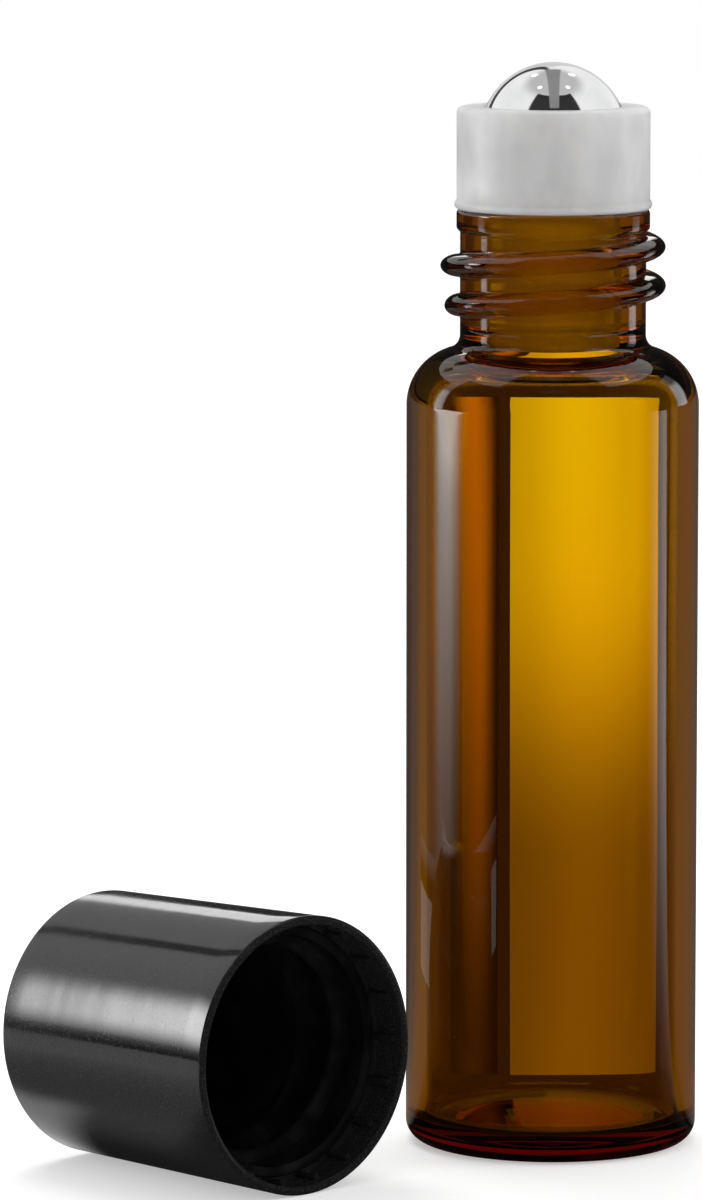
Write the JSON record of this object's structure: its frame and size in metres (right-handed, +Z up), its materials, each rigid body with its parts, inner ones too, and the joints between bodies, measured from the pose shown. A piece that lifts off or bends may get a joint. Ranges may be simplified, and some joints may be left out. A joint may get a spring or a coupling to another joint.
{
  "type": "roll-on bottle",
  "caption": "Small amber glass roll-on bottle with a screw neck, a steel ball in a translucent housing, and a glossy black screw cap lying beside it.",
  "frame": {"origin": "centre of the bottle's base, on the surface that it stands on", "axes": "+Z up along the bottle's axis; the cap lies to the -X side with its axis along Y and its mouth towards -Y"},
  "size_m": [0.0449, 0.0296, 0.0744],
  "materials": {
    "amber_glass": "clear polished amber glass",
    "natural_plastic": "translucent milky moulded plastic",
    "polished_steel": "mirror polished steel",
    "gloss_black": "glossy moulded plastic",
    "satin_black": "satin moulded plastic",
    "seal_disc": "soft matt disc"
  },
  "bodies": {
    "bottle": {"bottle_glass": "amber_glass", "roller_housing": "natural_plastic"},
    "ball": {"roller_ball": "polished_steel"},
    "cap_seal": {"cap_liner": "seal_disc"},
    "cap": {"cap_shell": "gloss_black", "cap_insert": "satin_black"}
  },
  "joints": [
    {"name": "ball_roll", "type": "hinge", "parent": "bottle", "child": "ball", "pos_m": [0, 0, 0.0694], "axis": [1, 0, 0], "continuous": true},
    {"name": "cap_carry", "type": "hinge", "parent": "bottle", "child": "cap_seal", "pos_m": [-0.023, -0.04153, 0.05755], "axis": [0.928, -0.266, -0.261], "range_deg": [0, 95.37]},
    {"name": "cap_turn", "type": "hinge", "parent": "cap_seal", "child": "cap", "pos_m": [-0.0255, -0.003, 0.0094], "axis": [0, 0.9998, -0.0191], "continuous": true}
  ]
}
